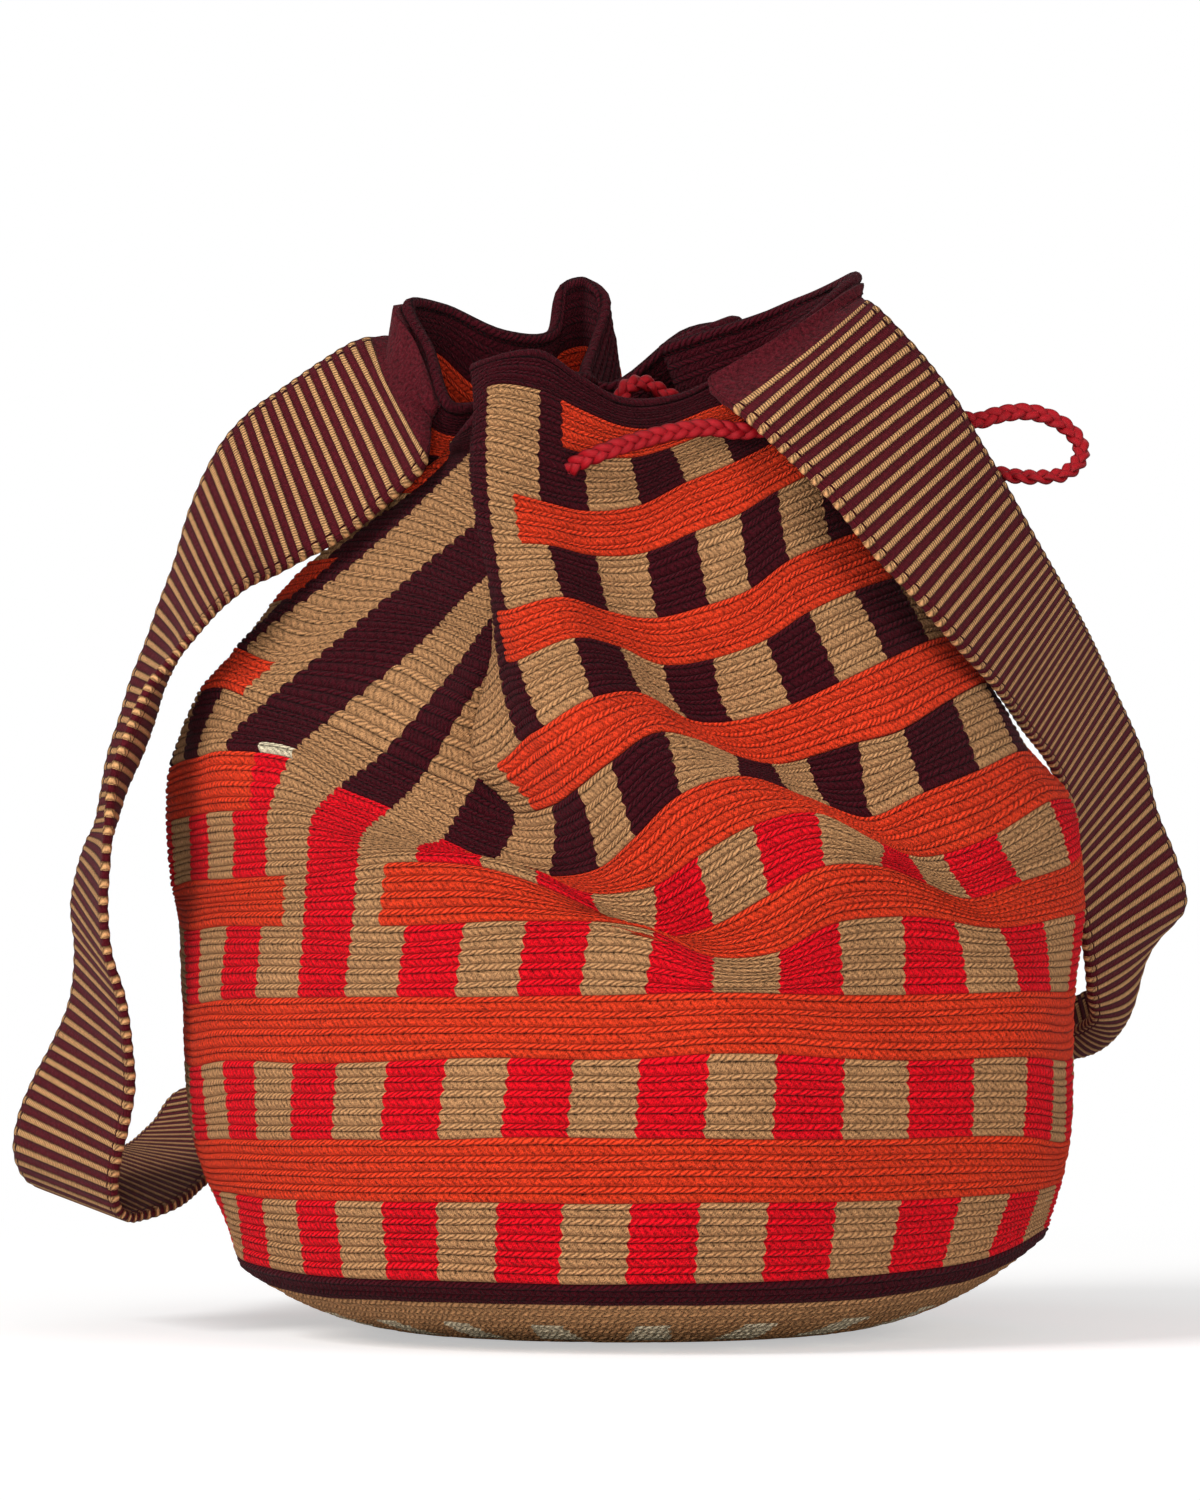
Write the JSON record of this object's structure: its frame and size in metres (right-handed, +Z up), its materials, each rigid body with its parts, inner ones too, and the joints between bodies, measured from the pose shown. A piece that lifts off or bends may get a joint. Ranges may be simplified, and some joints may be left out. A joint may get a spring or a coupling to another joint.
{
  "type": "wayuu mochila bag",
  "caption": "Soft crocheted bucket bag with a slumped, pleated mouth, a broad striped woven shoulder strap and a braided leather drawstring.",
  "frame": {"origin": "middle of the flat disc of the underside, on the surface that the bag stands on", "axes": "+Z up, -Y to the front that the picture shows, +X to the picture's right"},
  "size_m": [0.382, 0.3347, 0.3381],
  "materials": {
    "crochet": "crocheted cotton yarn in bands of red, orange, tan and burgundy",
    "woven_strap": "woven cotton, tan and burgundy stripes",
    "leather_cord": "braided red leather, satin"
  },
  "bodies": {
    "root": {"bag_body": "crochet", "strap": "woven_strap", "drawstring": "leather_cord"}
  },
  "joints": []
}
